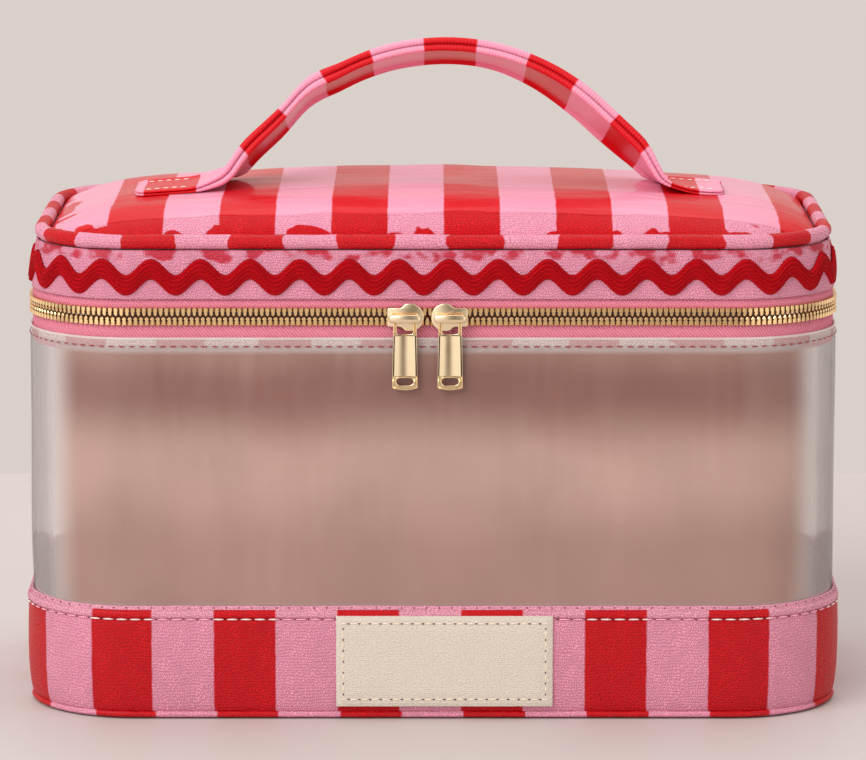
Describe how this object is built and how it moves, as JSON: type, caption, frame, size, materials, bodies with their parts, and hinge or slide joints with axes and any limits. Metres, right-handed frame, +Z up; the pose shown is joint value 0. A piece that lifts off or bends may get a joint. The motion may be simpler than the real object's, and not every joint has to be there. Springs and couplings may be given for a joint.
{
  "type": "tile carry case",
  "caption": "Soft carry case with rounded corners: striped base and crowned zip lid, clear window body, wavy braid trim and a strap handle on top.",
  "frame": {"origin": "middle of the flat bottom face that the case stands on", "axes": "+X to the right across the front, +Y from front to back, +Z up"},
  "size_m": [0.29, 0.1556, 0.2334],
  "materials": {
    "striped_canvas": "gloss",
    "pink_canvas": "gloss",
    "clear_vinyl": "gloss",
    "red_braid": "matte",
    "zip_tape": "matte",
    "brass": "satin",
    "patch_canvas": "matte",
    "lining_cloth": "matte",
    "greyboard": "matte",
    "foam": "matte"
  },
  "bodies": {
    "base": {"bottom_panel": "striped_canvas", "base_board": "greyboard", "floor_lining": "lining_cloth", "bottom_piping": "striped_canvas", "base_band": "striped_canvas", "band_stiffener": "greyboard", "base_lining": "lining_cloth", "base_binding": "striped_canvas", "window_panel": "clear_vinyl", "window_facing": "striped_canvas", "window_seam_tape": "striped_canvas", "label_patch": "patch_canvas", "zipper_tape_lower": "zip_tape", "zipper_teeth_lower": "brass", "zipper_stops": "brass", "hinge_leaf_lower": "striped_canvas"},
    "lid": {"lid_side_band": "pink_canvas", "lid_band_lining": "lining_cloth", "lid_piping": "striped_canvas", "lid_top_panel": "striped_canvas", "lid_foam": "foam", "lid_board": "greyboard", "lid_top_lining": "lining_cloth", "wavy_trim": "red_braid", "zipper_tape_upper": "zip_tape", "zipper_teeth_upper": "brass", "hinge_leaf_upper": "striped_canvas", "handle_tab_left": "striped_canvas", "handle_tab_right": "striped_canvas"},
    "handle": {"handle_strap": "striped_canvas", "handle_roll_front": "striped_canvas", "handle_roll_back": "striped_canvas"},
    "slider_left": {"slider_body_left": "brass", "slider_bail_left": "brass"},
    "pull_left": {"pull_left": "brass"},
    "slider_right": {"slider_body_right": "brass", "slider_bail_right": "brass"},
    "pull_right": {"pull_right": "brass"}
  },
  "joints": [
    {"name": "lid_hinge", "type": "hinge", "parent": "base", "child": "lid", "pos_m": [0, 0.0733, 0.1432], "axis": [-1, 0, 0], "range_deg": [0, 110]},
    {"name": "handle_tilt", "type": "hinge", "parent": "lid", "child": "handle", "pos_m": [0, 0, 0.1844], "axis": [-1, 0, 0], "range_deg": [-60, 30]},
    {"name": "slider_left_slide", "type": "slide", "parent": "base", "child": "slider_left", "axis": [-1, 0, 0], "range_m": [0, 0.084]},
    {"name": "slider_right_slide", "type": "slide", "parent": "base", "child": "slider_right", "axis": [1, 0, 0], "range_m": [0, 0.084]},
    {"name": "pull_left_swing", "type": "hinge", "parent": "slider_left", "child": "pull_left", "pos_m": [-0.00975, -0.0788, 0.1432], "axis": [-1, 0, 0], "range_deg": [0, 150]},
    {"name": "pull_right_swing", "type": "hinge", "parent": "slider_right", "child": "pull_right", "pos_m": [0.00595, -0.0788, 0.1432], "axis": [-1, 0, 0], "range_deg": [0, 150]}
  ]
}
